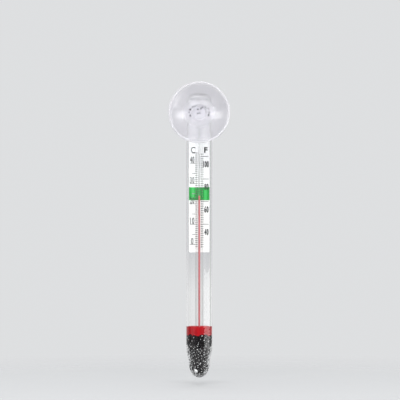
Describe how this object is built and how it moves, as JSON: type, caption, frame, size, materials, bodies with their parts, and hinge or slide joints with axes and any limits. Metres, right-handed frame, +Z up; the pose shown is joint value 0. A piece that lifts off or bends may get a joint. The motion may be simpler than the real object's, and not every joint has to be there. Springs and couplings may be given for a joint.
{
  "type": "aquarium thermometer",
  "caption": "Sealed glass spirit thermometer with a printed scale card, ballast shot and a suction cup whose collar grips the tube.",
  "frame": {"origin": "centre of the suction cup's rim, in the plane that meets the aquarium wall", "axes": "+Z up the tube, -Y out of the cup's mouth, towards the wall and whoever reads the scale, +X to that reader's right"},
  "size_m": [0.0234, 0.0198, 0.1136],
  "materials": {
    "clear_vinyl": "soft milky clear vinyl, smooth",
    "tube_glass": "clear polished",
    "stem_glass": "clear polished",
    "card": "smooth white coated card",
    "green_ink": "flat printed ink",
    "black_ink": "flat printed ink",
    "red_spirit": "dyed clear liquid",
    "shot": "loose dark granules",
    "wax": "poured red sealing wax"
  },
  "bodies": {
    "cup": {"suction_cup": "clear_vinyl"},
    "tube": {"glass_tube": "tube_glass", "scale_card": "card", "comfort_band": "green_ink", "celsius_marks": "black_ink", "fahrenheit_marks": "black_ink", "capillary_stem": "stem_glass", "bulb_spirit": "red_spirit", "ballast_shot": "shot", "wax_plug": "wax"},
    "spirit": {"spirit_column": "red_spirit"}
  },
  "joints": [
    {"name": "tube_height", "type": "slide", "parent": "cup", "child": "tube", "axis": [0, 0, 1], "range_m": [-0.0025, 0.085]},
    {"name": "spirit_level", "type": "slide", "parent": "tube", "child": "spirit", "axis": [0, 0, 1], "range_m": [-0.0188, 0.0157], "deforming": ["spirit_column"]}
  ]
}
